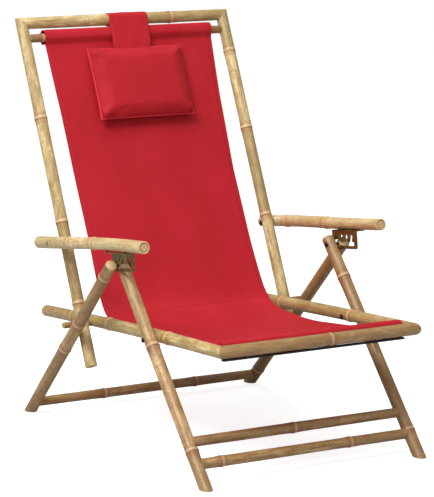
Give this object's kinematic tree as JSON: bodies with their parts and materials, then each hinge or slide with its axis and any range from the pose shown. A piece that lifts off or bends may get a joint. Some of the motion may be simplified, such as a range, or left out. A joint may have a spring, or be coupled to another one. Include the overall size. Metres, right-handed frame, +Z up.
{
  "type": "folding recliner chair",
  "caption": "Folding bamboo recliner chair with a red cloth sling, head pillow on a strap, pole armrests with notched metal brackets, and crossed pole legs.",
  "frame": {"origin": "on the floor, at the middle of the chair's box in X and Y", "axes": "+Z up, -Y the way the sitter faces, X along the pivot rod"},
  "size_m": [0.6448, 0.934, 0.9296],
  "materials": {
    "bamboo_frame": "satin varnish",
    "bamboo_legs": "satin varnish",
    "bamboo_arms": "satin varnish",
    "bamboo_rods": "satin varnish",
    "plugs": "matt",
    "cloth": "soft sheen",
    "pillow": "soft sheen",
    "brackets": "aged brass brown",
    "bolts": "black",
    "edge_strip": "black"
  },
  "bodies": {
    "seat": {"seat_rail_left": "bamboo_frame", "seat_rail_right": "bamboo_frame", "seat_front_rail": "bamboo_frame", "sling_front_rod": "bamboo_rods", "front_rail_strip": "edge_strip", "sling_seat": "cloth"},
    "pivot_rod": {"pivot_rod": "bamboo_rods", "sling_sleeve": "cloth"},
    "back": {"back_rail_left": "bamboo_frame", "back_rail_right": "bamboo_frame", "back_top_bar": "bamboo_frame", "sling_top_rod": "bamboo_rods", "sling_back": "cloth", "headrest_pillow": "pillow", "headrest_strap": "cloth"},
    "front_legs": {"front_leg_left": "bamboo_legs", "front_leg_right": "bamboo_legs", "front_crossbar_upper": "bamboo_legs", "front_crossbar_lower": "bamboo_legs", "seat_bolt_left": "bolts", "seat_bolt_right": "bolts", "top_bolt_left": "bolts", "top_bolt_right": "bolts"},
    "rear_legs": {"rear_leg_left": "bamboo_legs", "rear_leg_right": "bamboo_legs", "rear_crossbar": "bamboo_legs"},
    "arm_bolts": {"arm_bolt_left": "bolts", "arm_bolt_right": "bolts"},
    "armrest_left": {"armrest_left": "bamboo_arms", "armrest_plug_left": "plugs", "armrest_bracket_left": "brackets", "bracket_screw_left_1": "bolts", "bracket_screw_left_2": "bolts"},
    "armrest_right": {"armrest_right": "bamboo_arms", "armrest_plug_right": "plugs", "armrest_bracket_right": "brackets", "bracket_screw_right_1": "bolts", "bracket_screw_right_2": "bolts"}
  },
  "joints": [
    {"name": "fold", "type": "hinge", "parent": "seat", "child": "front_legs", "pos_m": [0, -0.18507, 0.27452], "axis": [1, 0, 0], "range_deg": [0, 100]},
    {"name": "rear_legs_close", "type": "hinge", "parent": "front_legs", "child": "rear_legs", "pos_m": [0, -0.06799, 0.42021], "axis": [1, 0, 0], "range_deg": [-84.5, 0]},
    {"name": "back_folds_over", "type": "hinge", "parent": "seat", "child": "pivot_rod", "pos_m": [0, 0.141, 0.25], "axis": [1, 0, 0], "range_deg": [0, 94.8]},
    {"name": "recline", "type": "hinge", "parent": "pivot_rod", "child": "back", "pos_m": [0, 0.141, 0.25], "axis": [-1, 0, 0], "range_deg": [0, 25]},
    {"name": "armrests_follow_fold", "type": "hinge", "parent": "back", "child": "arm_bolts", "pos_m": [0, 0.23018, 0.42656], "axis": [1, 0, 0], "range_deg": [-104.3, 0]},
    {"name": "armrest_left_follows_recline", "type": "hinge", "parent": "arm_bolts", "child": "armrest_left", "pos_m": [0, 0.23018, 0.42656], "axis": [1, 0, 0], "range_deg": [0, 18.1]},
    {"name": "armrest_right_follows_recline", "type": "hinge", "parent": "arm_bolts", "child": "armrest_right", "pos_m": [0, 0.23018, 0.42656], "axis": [1, 0, 0], "range_deg": [0, 18.1]}
  ],
  "couplings": [
    {"joint": "rear_legs_close", "follows": "fold", "ratio": -0.845},
    {"joint": "back_folds_over", "follows": "fold", "ratio": 0.948},
    {"joint": "armrests_follow_fold", "follows": "fold", "ratio": -1.043},
    {"joint": "armrest_left_follows_recline", "follows": "recline", "ratio": 0.722},
    {"joint": "armrest_right_follows_recline", "follows": "recline", "ratio": 0.722}
  ]
}
